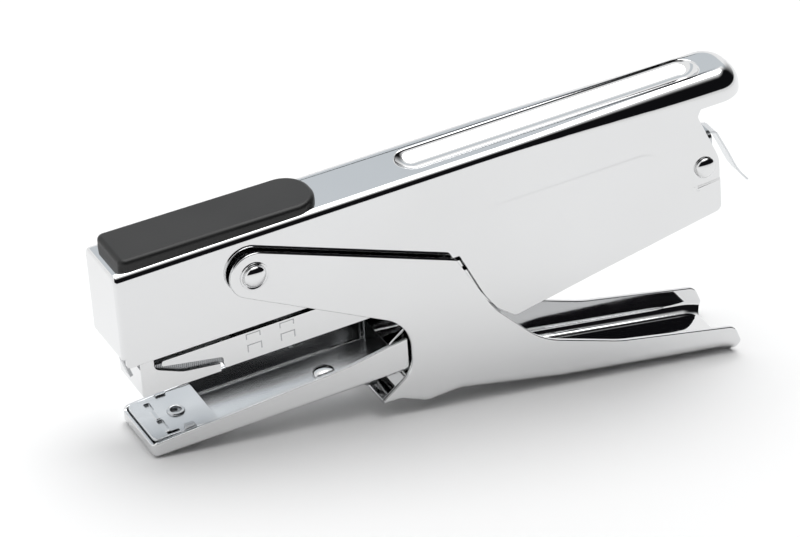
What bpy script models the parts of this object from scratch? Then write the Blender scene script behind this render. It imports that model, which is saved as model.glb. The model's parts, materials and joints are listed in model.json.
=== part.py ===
"""A plier stapler: a sheet steel housing whose long sides drop into deep wings at the rear, a lower handle
and an anvil arm that close under it, and a rear-loading magazine between them.

Every piece is drawn in millimetres along the housing: u runs rearwards along its lower edge, y runs across,
and v runs up at a right angle to u. The whole stapler then stands tilted on the tip of its anvil arm and the
rear of its lower handle. Pieces hang from an empty on their joint's axis.
"""

import math

import bmesh
import bpy
from mathutils import Matrix, Vector

MM = 0.001
SEGMENTS_PER_TURN = 40
GAP = 0.3

# Stance: the tilt of the housing, and where its lower front corner stands over the middle of the footprint.
TILT = math.radians(10.0)
FRONT_CORNER_X = -92.43
FRONT_CORNER_Z = 29.0

# Housing
HOUSING_HALF = 9.3
HOUSING_WALL = 0.9
HOUSING_TOP = 28.0
HOUSING_INNER = HOUSING_HALF - HOUSING_WALL
TOP_BEND = 3.1
FRONT_BEND = 1.0
FRONT_WALL_DEPTH = 1.6
FRONT_WALL_BOTTOM = 2.6
NOSE_END = 186.5
NOSE_BEND = 6.0
NOSE_CORNER = 8.0
NOSE_RIM = 20.0
RECESS_FRONT = 90.0
RECESS_REAR = 170.0
RECESS_HALF = 5.6
RECESS_DEPTH = 1.3

# Head cap
CAP_FRONT = 2.6
CAP_REAR = 60.2
CAP_HALF = 8.1
CAP_TOP = 31.4

# Pivots, as (u, v)
FRONT_PIVOT = (37.4, 16.8)
REAR_PIVOT = (171.6, 1.5)
FRONT_SHANK = 2.4
REAR_SHANK = 1.9
PLATE_RIVET_U = 16.6
SPRING_RIVET_U = 59.5
TONGUE_PIVOT = (176.3, 7.2)

# Lower handle
HANDLE_HALF = 11.6
HANDLE_WALL = 1.2
HANDLE_FLOOR = 1.25
HANDLE_LOBE = 6.7
HANDLE_BOTTOM = [(71.2, -37.6), (76.5, -37.8), (84.0, -41.8), (94.0, -42.4), (125.0, -50.1), (162.0, -57.2)]
HANDLE_BOTTOM += [(174.0, -59.6), (179.0, -60.9)]
HANDLE_BOTTOM_RADII = [0.4, 3, 5, 8, 40, 40, 10, 1]

# Anvil arm
ARM_HALF = 10.1
ARM_WALL = 1.0
ARM_FLOOR = -30.5
EAR_OUTER = 8.15
EAR_WALL = 0.7
PLATE_TOP = -25.2
JOGGLE = 75.0
EAR_LOBE = 5.0

# Magazine
CHANNEL_HALF = 7.15
CHANNEL_WALL = 0.5
CHANNEL_FLOOR = -11.6
CHANNEL_TOP = -3.1
CHANNEL_END = 165.0
NOSE_FRONT = 5.3
RAIL_HALF = 5.6
RAIL_TOP = -4.8
RAIL_FRONT = 7.6
STAPLE_HALF = 6.4
STAPLE_WIRE = 0.5
STAPLE_LEG = 6.0
STAPLE_FRONT = 7.4
STAPLE_REAR = 32.4
ROD_V = -7.8
ROD_RADIUS = 0.9
FEEDER_U = 175.0


def material(name, color, roughness, metallic):
    made = bpy.data.materials.new(name)
    made.use_nodes = True
    shader = made.node_tree.nodes["Principled BSDF"]
    shader.inputs["Base Color"].default_value = (*color, 1)
    shader.inputs["Roughness"].default_value = roughness
    shader.inputs["Metallic"].default_value = metallic
    made.diffuse_color = (*color, 1)
    return made


def frame(name, pivot, parent):
    """An empty on a joint's axis. It keeps its pivot, so that pieces are drawn in the housing's (u, y, v)."""
    empty = bpy.data.objects.new(name, None)
    bpy.context.scene.collection.objects.link(empty)
    empty["pivot"] = pivot
    empty.parent = parent
    if parent:
        here = Vector((pivot[0], 0, pivot[1]))
        there = Vector((parent["pivot"][0], 0, parent["pivot"][1]))
        empty.location = (here - there) * MM
    return empty


def arc(center, radius, start, end):
    """Points on an arc, from one angle to another in degrees."""
    steps = max(2, round(abs(end - start) / 360 * SEGMENTS_PER_TURN))
    angles = [math.radians(start + (end - start) * i / steps) for i in range(steps + 1)]
    return [(center[0] + radius * math.cos(a), center[1] + radius * math.sin(a)) for a in angles]


def circle(center, radius):
    return arc(center, radius, 0, 360)[:-1]


def rounded(corners):
    """An outline from corners (a, b) or (a, b, radius), each radius made as an arc between the two edges."""
    outline = []
    for i, corner in enumerate(corners):
        if len(corner) == 2:
            outline.append(corner)
            continue
        here = Vector(corner[:2])
        before = (Vector(corners[i - 1][:2]) - here).normalized()
        after = (Vector(corners[(i + 1) % len(corners)][:2]) - here).normalized()
        half = before.angle(after) / 2
        middle = here + (before + after).normalized() * corner[2] / math.sin(half)
        first = here + before * corner[2] / math.tan(half) - middle
        last = here + after * corner[2] / math.tan(half) - middle
        start = math.degrees(math.atan2(first.y, first.x))
        turn = (math.degrees(math.atan2(last.y, last.x)) - start + 180) % 360 - 180
        outline += arc(middle, corner[2], start, start + turn)
    return outline


def rectangle(a0, b0, a1, b1, radius=0.0):
    corners = [(a0, b0), (a1, b0), (a1, b1), (a0, b1)]
    return rounded([(*corner, radius) for corner in corners]) if radius else corners


def stadium(a0, a1, half):
    """A slot outline with round ends, along the first axis."""
    return arc((a1, 0), half, -90, 90) + arc((a0, 0), half, 90, 270)


# How a flat outline (a, b) and a depth c become (u, y, v)
SIDE = "side"
PLAN = "plan"
SECTION = "section"
PLACE = {
    SIDE: lambda a, b, c: (a, c, b),
    PLAN: lambda a, b, c: (a, b, c),
    SECTION: lambda a, b, c: (c, a, b),
}


def solid(name, outline, low, high, view, parent, finish=None):
    """The outline extruded from low to high. Without a finish it is a cutter, which never renders."""
    mesh = bpy.data.meshes.new(name)
    sheet = bmesh.new()
    place = PLACE[view]
    face = sheet.faces.new([sheet.verts.new(place(a, b, low)) for a, b in outline])
    moved = bmesh.ops.extrude_face_region(sheet, geom=[face])["geom"]
    shift = Vector(place(0, 0, high - low))
    bmesh.ops.translate(sheet, vec=shift, verts=[v for v in moved if isinstance(v, bmesh.types.BMVert)])
    finish_mesh(sheet, mesh, parent)
    return put(name, mesh, parent, finish)


def finish_mesh(sheet, mesh, parent):
    """Faces turned outwards, then millimetres round the parent's pivot turned into metres."""
    bmesh.ops.recalc_face_normals(sheet, faces=sheet.faces)
    u, v = parent["pivot"]
    to_metres = Matrix.Scale(MM, 4) @ Matrix.Translation((-u, 0, -v))
    bmesh.ops.transform(sheet, matrix=to_metres, verts=sheet.verts)
    sheet.to_mesh(mesh)
    sheet.free()


def put(name, mesh, parent, finish):
    piece = bpy.data.objects.new(name, mesh)
    bpy.context.scene.collection.objects.link(piece)
    piece.parent = parent
    if finish:
        mesh.materials.append(finish)
        mesh.shade_smooth()
        mesh.set_sharp_from_angle(angle=math.radians(30))
    else:
        piece.hide_render = True
        piece.display_type = "WIRE"
    return piece


def turned(name, profile, parent, finish, pivot):
    """A round piece across the stapler at pivot, from its profile of (y, radius)."""
    sheet = bmesh.new()
    rings = []
    for y, radius in profile:
        rings.append([sheet.verts.new((a, y, b)) for a, b in circle(pivot, radius)])
    for first, second in zip(rings, rings[1:]):
        for i in range(len(first)):
            j = (i + 1) % len(first)
            sheet.faces.new((first[i], first[j], second[j], second[i]))
    sheet.faces.new(rings[0])
    sheet.faces.new(rings[-1])
    mesh = bpy.data.meshes.new(name)
    finish_mesh(sheet, mesh, parent)
    return put(name, mesh, parent, finish)


def combine(piece, other, operation):
    modifier = piece.modifiers.new(other.name, "BOOLEAN")
    modifier.operation = operation
    modifier.object = other
    return piece


def cut(piece, *cutters):
    for cutter in cutters:
        combine(piece, cutter, "DIFFERENCE")
    return piece


def join(piece, *others):
    for other in others:
        combine(piece, other, "UNION")
    return piece


def keep_within(piece, *others):
    for other in others:
        combine(piece, other, "INTERSECT")
    return piece


def hole(name, center, radius, low, high, parent):
    return solid(name, circle(center, radius), low, high, SIDE, parent)


# Housing ----------------------------------------------------------------------------------------------


def housing_side(inset):
    """The side of the housing: the body, the wing below it and the nose behind it, drawn smaller by inset."""
    top = HOUSING_TOP - inset
    body = [(inset, -0.3 - inset), (97.0, -0.3 - inset)]
    if inset:
        # The inside runs out through the open underside.
        wing = [(97.0, -40.0), (HOUSING_TOP + 160, -40.0), (HOUSING_TOP + 160, NOSE_RIM - inset)]
    else:
        wing = [(103.5, -15.0, 20), (107.0, -20.5, 6), (112.5, -25.0, 2.6), (138.0, -20.2, 60)]
        wing += [(176.5, -13.6, 2), (176.2, 3.0, 8), (170.0, 18.0, 1.5), (171.0, NOSE_RIM, 0.4)]
    nose = [(NOSE_END - inset, NOSE_RIM - inset), (NOSE_END - inset, top, NOSE_BEND - inset)]
    return rounded(body + wing + nose + [(inset, top, 0.8)])


def housing_section(inset):
    half = HOUSING_HALF - inset
    top = HOUSING_TOP - inset
    bend = TOP_BEND - inset
    return rounded([(-half, -50), (half, -50), (half, top, bend), (-half, top, bend)])


def housing_plan(inset):
    half = HOUSING_HALF - inset
    rear = NOSE_END - inset
    corner = NOSE_CORNER - inset
    front = max(FRONT_BEND - inset, 0.3)
    return rounded([(inset, -half, front), (rear, -half, corner), (rear, half, corner), (inset, half, front)])


def housing_block(name, inset, parent, finish=None):
    """The housing as if it were solid, with its bends, made smaller by inset."""
    block = solid(name, housing_side(inset), -20, 20, SIDE, parent, finish)
    section = solid(name + "_section", housing_section(inset), -5, 200, SECTION, parent)
    plan = solid(name + "_plan", housing_plan(inset), -60, 40, PLAN, parent)
    return keep_within(block, section, plan)


def upper_housing(root, chrome):
    shell = housing_block("upper_housing", 0, root, chrome)
    inside = housing_block("housing_inside", HOUSING_WALL, root)
    pan_floor = HOUSING_TOP - RECESS_DEPTH - HOUSING_WALL
    pan_outline = stadium(RECESS_FRONT, RECESS_REAR, RECESS_HALF + 0.8)
    pan = solid("recess_pan", pan_outline, pan_floor, HOUSING_TOP - 0.5, PLAN, root)
    pocket_outline = stadium(RECESS_FRONT, RECESS_REAR, RECESS_HALF)
    pocket = solid("recess", pocket_outline, pan_floor + HOUSING_WALL, 40, PLAN, root)
    below_front = rectangle(-2, -20, FRONT_WALL_DEPTH, FRONT_WALL_BOTTOM)
    under_front = solid("under_front", below_front, -8.2, 8.2, SIDE, root)
    rivet_hole = hole("front_hole", FRONT_PIVOT, FRONT_SHANK + GAP, -20, 20, root)
    rear_hole = hole("rear_hole", REAR_PIVOT, REAR_SHANK + GAP, -20, 20, root)
    cut(shell, inside)
    join(shell, pan)
    cut(shell, pocket, under_front, rivet_hole, rear_hole)


def head_cap(root, plastic):
    half = CAP_HALF
    corners = [(CAP_FRONT, -half, 2.2), (CAP_REAR, -half, 7.6), (CAP_REAR, half, 7.6), (CAP_FRONT, half, 2.2)]
    outline = rounded(corners)
    cap = solid("head_cap", outline, HOUSING_TOP + GAP, CAP_TOP, PLAN, root, plastic)
    side = rounded([(0, 20), (70, 20), (66.0, 29.0), (57.5, CAP_TOP, 8), (0, CAP_TOP)])
    draft = 0.4
    section = rounded([(-half, 0), (half, 0), (half - draft, CAP_TOP, 1.4), (draft - half, CAP_TOP, 1.4)])
    side_trim = solid("cap_side", side, -12, 12, SIDE, root)
    section_trim = solid("cap_section", section, -5, 80, SECTION, root)
    keep_within(cap, side_trim, section_trim)


def driver(root, steel, block_finish):
    """The blade that pushes a staple out, and the block that holds it under the top of the housing."""
    block = solid("driver_block", rectangle(2.4, 14.5, 23.0, 26.6), -6.8, 6.8, SIDE, root, block_finish)
    cut(block, solid("blade_slot", rectangle(5.8, 5.0, 7.2, 24.5), -6.6, 6.6, SIDE, root))
    blade = rounded([(-6.1, -2.6), (6.1, -2.6), (6.1, 24.0, 1), (-6.1, 24.0, 1)])
    solid("driver_blade", blade, 6.1, 6.9, SECTION, root, steel)


def front_guide_leaf(root, steel):
    """A narrow leaf behind the front wall, whose bent tip shows below it."""
    outline = [(1.6, 10.0), (2.4, 10.0), (2.7, -1.2), (4.1, -6.0), (3.3, -6.3), (1.9, -1.3)]
    solid("front_guide_leaf", outline, -4.8, -2.0, SIDE, root, steel)


def front_pivot(root, chrome):
    """The long rivet through both handle plates and the housing, and the washers under its heads."""
    head = HANDLE_HALF + 0.75
    dome = [(head + 1.2, 1.2), (head + 1.0, 2.2), (head + 0.5, 3.0), (head, 3.2)]
    half_profile = dome + [(head, FRONT_SHANK)]
    profile = [(-y, r) for y, r in half_profile] + [(y, r) for y, r in reversed(half_profile)]
    turned("front_pivot_rivet", profile, root, chrome, FRONT_PIVOT)
    for side, sign in (("left", -1), ("right", 1)):
        low, high = sorted((sign * (HANDLE_HALF + 0.12), sign * (HANDLE_HALF + 0.6)))
        washer = solid("pivot_washer_" + side, circle(FRONT_PIVOT, 4.1), low, high, SIDE, root, chrome)
        cut(washer, hole("washer_hole_" + side, FRONT_PIVOT, FRONT_SHANK + GAP, low - 1, high + 1, root))
        low, high = sorted((sign * (HOUSING_HALF + 0.2), sign * (HANDLE_HALF - HANDLE_WALL - 0.2)))
        spacer = solid("pivot_spacer_" + side, circle(FRONT_PIVOT, 4.6), low, high, SIDE, root, chrome)
        cut(spacer, hole("spacer_hole_" + side, FRONT_PIVOT, FRONT_SHANK + GAP, low - 1, high + 1, root))


def rear_pivots(root, chrome):
    """A stub rivet in each wing, through the ear of the arm and the ear of the magazine."""
    inner = CHANNEL_HALF - CHANNEL_WALL - 0.25
    for side, sign in (("left", -1), ("right", 1)):
        profile = [(inner - 0.7, 2.7), (inner, 2.7), (inner, REAR_SHANK), (HOUSING_HALF + 0.2, REAR_SHANK)]
        profile += [(HOUSING_HALF + 0.2, 3.05), (HOUSING_HALF + 0.6, 2.9), (HOUSING_HALF + 1.1, 2.2)]
        profile += [(HOUSING_HALF + 1.3, 1.2)]
        turned("rear_rivet_" + side, [(sign * y, r) for y, r in profile], root, chrome, REAR_PIVOT)


def return_leaf(root, steel):
    """The leaf spring that presses the magazine down, from the driver block to the bridge on the magazine."""
    outline = [(14.0, 13.6), (26.0, 13.6), (90.0, -1.2), (92.0, -0.6), (91.8, 0.0), (90.0, -0.5)]
    outline += [(26.1, 14.2), (14.0, 14.2)]
    solid("magazine_return_spring", outline, -4.0, 4.0, SIDE, root, steel)


# Lower handle -----------------------------------------------------------------------------------------


def handle_outline():
    """The plate: a lobe on the pivot, the arm behind it, the round notch over the lip, and the long grip."""
    lobe = arc(FRONT_PIVOT, HANDLE_LOBE, 68, 241)
    notch = [(80.4, -14.6, 13), (80.4, -29.4, 7), (70.7, -36.4, 0.4)]
    bottom = [(*corner, radius) for corner, radius in zip(HANDLE_BOTTOM, HANDLE_BOTTOM_RADII)]
    top = [(180.4, -58.0, 2), (178.6, -52.2, 3.5), (143.0, -43.6, 30), (119.0, -34.2, 25), (105.0, -18.5, 20)]
    return rounded(lobe + notch + bottom + top + [(95.0, 0.6, 1.2)])


def lower_handle(front, chrome):
    plates = solid("lower_handle", handle_outline(), -HANDLE_HALF, HANDLE_HALF, SIDE, front, chrome)
    inner = HANDLE_HALF - HANDLE_WALL
    floor = [(u, v + HANDLE_FLOOR) for u, v in HANDLE_BOTTOM]
    above = [(20, -70), (70.0, -70), (70.0, floor[0][1])] + floor + [(200, floor[-1][1]), (200, 60), (20, 60)]
    cut(plates, solid("handle_inside", above, -inner, inner, SIDE, front))
    cut(plates, hole("handle_hole", FRONT_PIVOT, FRONT_SHANK + GAP, -20, 20, front))


# Anvil arm --------------------------------------------------------------------------------------------


def arm_front_outline():
    corners = [(5.4, ARM_FLOOR, 0.6), (80.0, ARM_FLOOR, 1), (80.0, -20.6, 1), (76.0, -21.6, 6)]
    return rounded(corners + [(5.4, -25.8, 0.5)])


def ear_outline():
    """The rear of the arm: from the joggle up to the lobe on the rear pivot."""
    lobe = arc(REAR_PIVOT, EAR_LOBE, -73, 100)
    front = [(96.0, -6.5, 12), (JOGGLE, -21.5, 1), (JOGGLE, ARM_FLOOR, 1), (86.0, ARM_FLOOR, 15)]
    return rounded(lobe + front)


def anvil_arm(rear, chrome):
    half = ARM_HALF
    section = rounded([(-half, ARM_FLOOR, 1.6), (half, ARM_FLOOR, 1.6), (half, -10), (-half, -10)])
    arm = solid("anvil_arm", arm_front_outline(), -ARM_HALF - 2, ARM_HALF + 2, SIDE, rear, chrome)
    keep_within(arm, solid("arm_section", section, -5, 100, SECTION, rear))
    inner = ARM_HALF - ARM_WALL
    floor = ARM_FLOOR + ARM_WALL
    trough = rounded([(-inner, floor, 0.7), (inner, floor, 0.7), (inner, 0), (-inner, 0)])
    cut(arm, solid("arm_trough", trough, 6.4, 100, SECTION, rear))
    cut(arm, solid("lip_top", rectangle(0, -26.7, 6.8, -15), -inner, inner, SIDE, rear))
    for side, sign in (("left", -1), ("right", 1)):
        low, high = sorted((sign * (EAR_OUTER - EAR_WALL), sign * EAR_OUTER))
        ear = solid("ear_" + side, ear_outline(), low, high, SIDE, rear)
        low, high = sorted((sign * (EAR_OUTER - EAR_WALL), sign * ARM_HALF))
        web = solid("joggle_" + side, rectangle(JOGGLE + 1, ARM_FLOOR, 79.5, -21.0), low, high, SIDE, rear)
        join(arm, web, ear)
    cut(arm, hole("ear_hole", REAR_PIVOT, REAR_SHANK + GAP, -20, 20, rear))
    cut(arm, hole_through_floor("arm_spring_hole", SPRING_RIVET_U, 1.8, rear))
    cut(arm, hole_through_floor("arm_plate_hole", PLATE_RIVET_U, 1.6, rear))


def hole_through_floor(name, u, radius, parent):
    return solid(name, circle((u, 0), radius), -60, -10, PLAN, parent)


def anvil_plate(rear, steel):
    """The plate that bends the staple legs, with clinching pockets across it and slots for its clip."""
    half = ARM_HALF - ARM_WALL - 0.25
    outline = rounded([(6.7, -half, 1.5), (24.8, -half, 0.4), (24.8, half, 0.4), (6.7, half, 1.5)])
    plate = solid("anvil_plate", outline, PLATE_TOP - 1.0, PLATE_TOP, PLAN, rear, steel)
    for side, low, high in (("left", -5.9, -1.2), ("right", 1.2, 5.9)):
        pocket = rectangle(10.2, low, 12.2, high)
        cut(plate, solid("pocket_" + side, pocket, PLATE_TOP - 0.6, PLATE_TOP + 1, PLAN, rear))
    cut(plate, solid("clip_slot", rectangle(15.0, -7.4, 19.5, -6.2), -30, -20, PLAN, rear))
    cut(plate, hole_through_floor("plate_hole", PLATE_RIVET_U, 1.6, rear))


def upright_rivet(name, u, profile, parent, finish):
    """A round piece standing across the arm's floor at u, from its profile of (v, radius)."""
    sheet = bmesh.new()
    rings = [[sheet.verts.new((a, b, v)) for a, b in circle((u, 0), radius)] for v, radius in profile]
    for first, second in zip(rings, rings[1:]):
        for i in range(len(first)):
            j = (i + 1) % len(first)
            sheet.faces.new((first[i], first[j], second[j], second[i]))
    sheet.faces.new(rings[0])
    sheet.faces.new(rings[-1])
    mesh = bpy.data.meshes.new(name)
    finish_mesh(sheet, mesh, parent)
    return put(name, mesh, parent, finish)


def arm_fittings(rear, steel, chrome):
    under = ARM_FLOOR - 0.2
    plate_rivet = [(under, 1.3), (PLATE_TOP + 0.3, 1.3), (PLATE_TOP + 0.3, 2.0), (PLATE_TOP + 0.9, 1.7)]
    upright_rivet("anvil_plate_rivet", PLATE_RIVET_U, plate_rivet, rear, steel)
    profile = [(-2.2, 1.4), (-1.4, 2.2), (-1.4, 1.5), (1.3, 1.5), (1.3, 2.4), (2.0, 1.8)]
    spring_rivet = [(ARM_FLOOR + above, radius) for above, radius in profile]
    upright_rivet("leaf_spring_rivet", SPRING_RIVET_U, spring_rivet, rear, chrome)
    clip = rounded([(15.4, -29.0), (19.0, -29.0), (19.0, -24.6, 0.8), (15.4, -24.6, 0.8)])
    solid("anvil_plate_clip", clip, -7.1, -6.5, SIDE, rear, steel)


def leaf_spring(rear, steel):
    """The leaf under the arm that holds the handle away from it."""
    top = ARM_FLOOR - 0.3
    under = [(53.0, top - 0.8), (65.0, top - 0.8), (70.2, -35.4, 6), (73.0, -35.7)]
    above = [(73.0, -34.9), (70.8, -34.6, 6), (65.6, top), (53.0, top)]
    outline = rounded(under + above)
    leaf = solid("handle_leaf_spring", outline, -4.0, 4.0, SIDE, rear, steel)
    cut(leaf, hole_through_floor("leaf_hole", SPRING_RIVET_U, 1.8, rear))


# Magazine ---------------------------------------------------------------------------------------------


def magazine_channel(swing, steel):
    """The trough that the staples slide in, with a tapered tongue in front and an ear on the rear pivot."""
    ear = arc(REAR_PIVOT, 4.2, -60, 110)
    tongue = [(150.0, CHANNEL_TOP, 6), (11.4, CHANNEL_TOP, 0.5), (11.4, -4.6, 0.5), (28.4, -8.0, 1)]
    side = rounded(ear + tongue + [(28.9, CHANNEL_FLOOR, 0.5), (CHANNEL_END, CHANNEL_FLOOR, 1)])
    channel = solid("magazine_channel", side, -CHANNEL_HALF, CHANNEL_HALF, SIDE, swing, steel)
    inner = CHANNEL_HALF - CHANNEL_WALL
    inside = rectangle(0, CHANNEL_FLOOR + CHANNEL_WALL, 200, 20)
    cut(channel, solid("channel_inside", inside, -inner, inner, SIDE, swing))
    cut(channel, solid("tongue_gap", rectangle(0, -20, 27.0, 20), -inner, inner, SIDE, swing))
    cut(channel, hole("channel_hole", REAR_PIVOT, REAR_SHANK + GAP, -20, 20, swing))


def magazine_nose(swing, steel):
    """The guide round the front of the magazine, where a staple leaves it."""
    corners = [(NOSE_FRONT, -12.2, 0.4), (27.6, -12.2), (27.6, -9.9), (17.0, -8.4, 8), (9.2, -4.9, 2)]
    side = rounded(corners + [(9.2, 3.0), (NOSE_FRONT, 3.0)])
    nose = solid("magazine_nose", side, -CHANNEL_HALF, CHANNEL_HALF, SIDE, swing, steel)
    inner = CHANNEL_HALF - CHANNEL_WALL
    cut(nose, solid("nose_inside", rectangle(NOSE_FRONT + 0.5, -20, 60, 20), -inner, inner, SIDE, swing))


def staple_rail(swing, steel):
    """The inverted trough that the staples straddle, slotted along its top for the pusher."""
    outer = rectangle(-RAIL_HALF, CHANNEL_FLOOR + CHANNEL_WALL + GAP, RAIL_HALF, RAIL_TOP)
    rail = solid("staple_rail", outer, RAIL_FRONT, CHANNEL_END - 1, SECTION, swing, steel)
    inner = RAIL_HALF - 0.5
    cut(rail, solid("rail_inside", rectangle(-inner, -20, inner, RAIL_TOP - 0.5), 8.2, 200, SECTION, swing))
    cut(rail, solid("rail_slot", rectangle(33.0, -1.0, 200, 1.0), -8, 0, PLAN, swing))
    return rail


def staple_strip(swing, zinc):
    """A strip of staples with 6 mm legs, as one body."""
    crown = RAIL_TOP + 0.25 + STAPLE_WIRE
    legs = crown - STAPLE_LEG
    outer = rectangle(-STAPLE_HALF, legs, STAPLE_HALF, crown)
    strip = solid("staple_strip", outer, STAPLE_FRONT, STAPLE_REAR, SECTION, swing, zinc)
    inner = STAPLE_HALF - STAPLE_WIRE
    between = rectangle(-inner, -30, inner, crown - STAPLE_WIRE)
    cut(strip, solid("between_legs", between, 0, 60, SECTION, swing))


def magazine_bridge(swing, steel):
    """The strap across the channel that the return spring presses on."""
    half = CHANNEL_HALF
    base = CHANNEL_TOP + GAP
    outline = rounded([(-half, base), (half, base), (half, -1.8, 0.5), (-half, -1.8, 0.5)])
    solid("magazine_bridge", outline, 84.0, 95.0, SECTION, swing, steel)


def feeder(slide, pushed, steel, spring_steel, plastic):
    """What pulls out of the rear: the end plate with its thumb tongue, the rod, the spring and the pusher."""
    plate = rounded([(-6.0, -11.0, 1), (6.0, -11.0, 1), (6.0, 9.0, 2), (-6.0, 9.0, 2)])
    end = solid("feeder_end_plate", plate, FEEDER_U, FEEDER_U + 1.0, SECTION, slide, steel)
    cut(end, along("rod_hole", ROD_RADIUS + 0.25, FEEDER_U - 1, FEEDER_U + 3, slide))
    rod = along("pusher_rod", ROD_RADIUS, 36.0, FEEDER_U + 2.0, slide, steel)
    join(rod, along("rod_head", 1.8, FEEDER_U + 1.2, FEEDER_U + 2.0, slide))
    spring = along("pusher_spring", 2.3, 46.5, FEEDER_U - 0.4, slide, spring_steel)
    cut(spring, along("spring_bore", ROD_RADIUS + 0.35, 40.0, FEEDER_U + 1, slide))
    saddle = rectangle(-6.3, -10.2, 6.3, -3.6)
    pusher = solid("staple_pusher", saddle, STAPLE_REAR + 0.4, STAPLE_REAR + 12.0, SECTION, pushed, plastic)
    inner = RAIL_HALF + 0.2
    cut(pusher, solid("saddle_inside", rectangle(-inner, -30, inner, RAIL_TOP + 0.2), 0, 60, SECTION, pushed))
    collar_front = STAPLE_REAR + 2.0
    collar_rear = STAPLE_REAR + 11.0
    upright = rectangle(collar_front, ROD_V, collar_rear, -4.0)
    web = solid("pusher_web", upright, -0.6, 0.6, SIDE, pushed)
    collar = along("pusher_collar", 2.3, collar_front, collar_rear, pushed)
    bore = along("collar_bore", ROD_RADIUS + 0.3, 30, 60, pushed)
    cut(join(pusher, web, collar), bore)


def along(name, radius, low, high, parent, finish=None):
    """A round bar along the magazine."""
    return solid(name, circle((0, ROD_V), radius), low, high, SECTION, parent, finish)


def release_tongue(flex, spring_steel):
    """The thin curved tongue on the end plate that is pressed to pull the feeder out."""
    outer = [(176.3, 7.5), (179.4, 6.6, 2), (183.4, -2.0, 40), (186.6, -9.2, 25), (190.2, -13.2)]
    inner = [(189.7, -13.6), (186.0, -9.4, 25), (182.8, -2.1, 40), (179.0, 6.0, 2), (176.3, 6.9)]
    solid("release_tongue", rounded(outer + inner), -2.6, 2.6, SIDE, flex, spring_steel)


def main():
    for old in list(bpy.data.objects):
        bpy.data.objects.remove(old, do_unlink=True)
    chrome = material("chrome", (0.62, 0.62, 0.63), 0.06, 1.0)
    steel = material("nickel_steel", (0.52, 0.52, 0.53), 0.22, 1.0)
    spring_steel = material("spring_steel", (0.34, 0.34, 0.35), 0.3, 1.0)
    zinc = material("zinc_wire", (0.6, 0.6, 0.62), 0.35, 1.0)
    plastic = material("black_plastic", (0.02, 0.02, 0.022), 0.45, 0.0)

    root = frame("stapler", (0.0, 0.0), None)
    root.location = (FRONT_CORNER_X * MM, 0, FRONT_CORNER_Z * MM)
    root.rotation_euler = (0, -TILT, 0)
    front = frame("front_pivot_axis", FRONT_PIVOT, root)
    rear = frame("rear_pivot_axis_arm", REAR_PIVOT, root)
    swing = frame("rear_pivot_axis_magazine", REAR_PIVOT, root)
    slide = frame("feeder_axis", (FEEDER_U, ROD_V), swing)
    pushed = frame("pusher_axis", (STAPLE_REAR, ROD_V), slide)
    flex = frame("tongue_axis", TONGUE_PIVOT, slide)

    upper_housing(root, chrome)
    head_cap(root, plastic)
    driver(root, steel, plastic)
    front_guide_leaf(root, spring_steel)
    front_pivot(root, chrome)
    rear_pivots(root, chrome)
    return_leaf(root, spring_steel)
    lower_handle(front, chrome)
    anvil_arm(rear, chrome)
    anvil_plate(rear, steel)
    arm_fittings(rear, steel, chrome)
    leaf_spring(rear, spring_steel)
    magazine_channel(swing, steel)
    magazine_nose(swing, steel)
    staple_rail(swing, steel)
    staple_strip(swing, zinc)
    magazine_bridge(swing, steel)
    feeder(slide, pushed, steel, spring_steel, plastic)
    release_tongue(flex, spring_steel)


main()
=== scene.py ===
"""The looks of the plier stapler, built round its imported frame.

Every piece is drawn in millimetres along the housing, as (u, y, v): u runs rearwards along its lower edge, y
runs across, and v runs up at a right angle to u. IN_FRAME turns that into the frame's metres. It comes from
the frame's own joints, so a piece lies where the CAD says.
"""

import json
import math

import bmesh
import bpy
from mathutils import Matrix, Vector


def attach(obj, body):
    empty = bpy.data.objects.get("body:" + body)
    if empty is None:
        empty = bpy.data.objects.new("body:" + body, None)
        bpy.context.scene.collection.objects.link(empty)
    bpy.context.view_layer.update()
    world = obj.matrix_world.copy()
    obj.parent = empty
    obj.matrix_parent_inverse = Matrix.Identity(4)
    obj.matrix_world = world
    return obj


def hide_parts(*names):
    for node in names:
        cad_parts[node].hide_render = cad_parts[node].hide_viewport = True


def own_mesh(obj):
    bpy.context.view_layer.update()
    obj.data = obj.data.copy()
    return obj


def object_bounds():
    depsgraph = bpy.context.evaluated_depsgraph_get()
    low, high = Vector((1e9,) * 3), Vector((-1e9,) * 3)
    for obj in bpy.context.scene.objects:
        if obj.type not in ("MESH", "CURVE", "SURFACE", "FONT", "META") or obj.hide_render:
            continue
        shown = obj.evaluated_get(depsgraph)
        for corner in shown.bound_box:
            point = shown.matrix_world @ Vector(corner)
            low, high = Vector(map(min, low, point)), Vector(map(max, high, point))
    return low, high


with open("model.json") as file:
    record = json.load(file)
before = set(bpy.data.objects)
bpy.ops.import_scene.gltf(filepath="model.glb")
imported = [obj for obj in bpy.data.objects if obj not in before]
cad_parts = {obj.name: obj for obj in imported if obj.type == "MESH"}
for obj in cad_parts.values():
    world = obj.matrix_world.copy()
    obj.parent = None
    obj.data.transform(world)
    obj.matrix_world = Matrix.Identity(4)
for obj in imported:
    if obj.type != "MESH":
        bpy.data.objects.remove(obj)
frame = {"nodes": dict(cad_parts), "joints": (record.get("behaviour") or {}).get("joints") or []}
cad_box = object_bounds()

MM = 0.001
JOINTS = {joint["name"]: joint for joint in frame["joints"]}
NODES = frame["nodes"]

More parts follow.
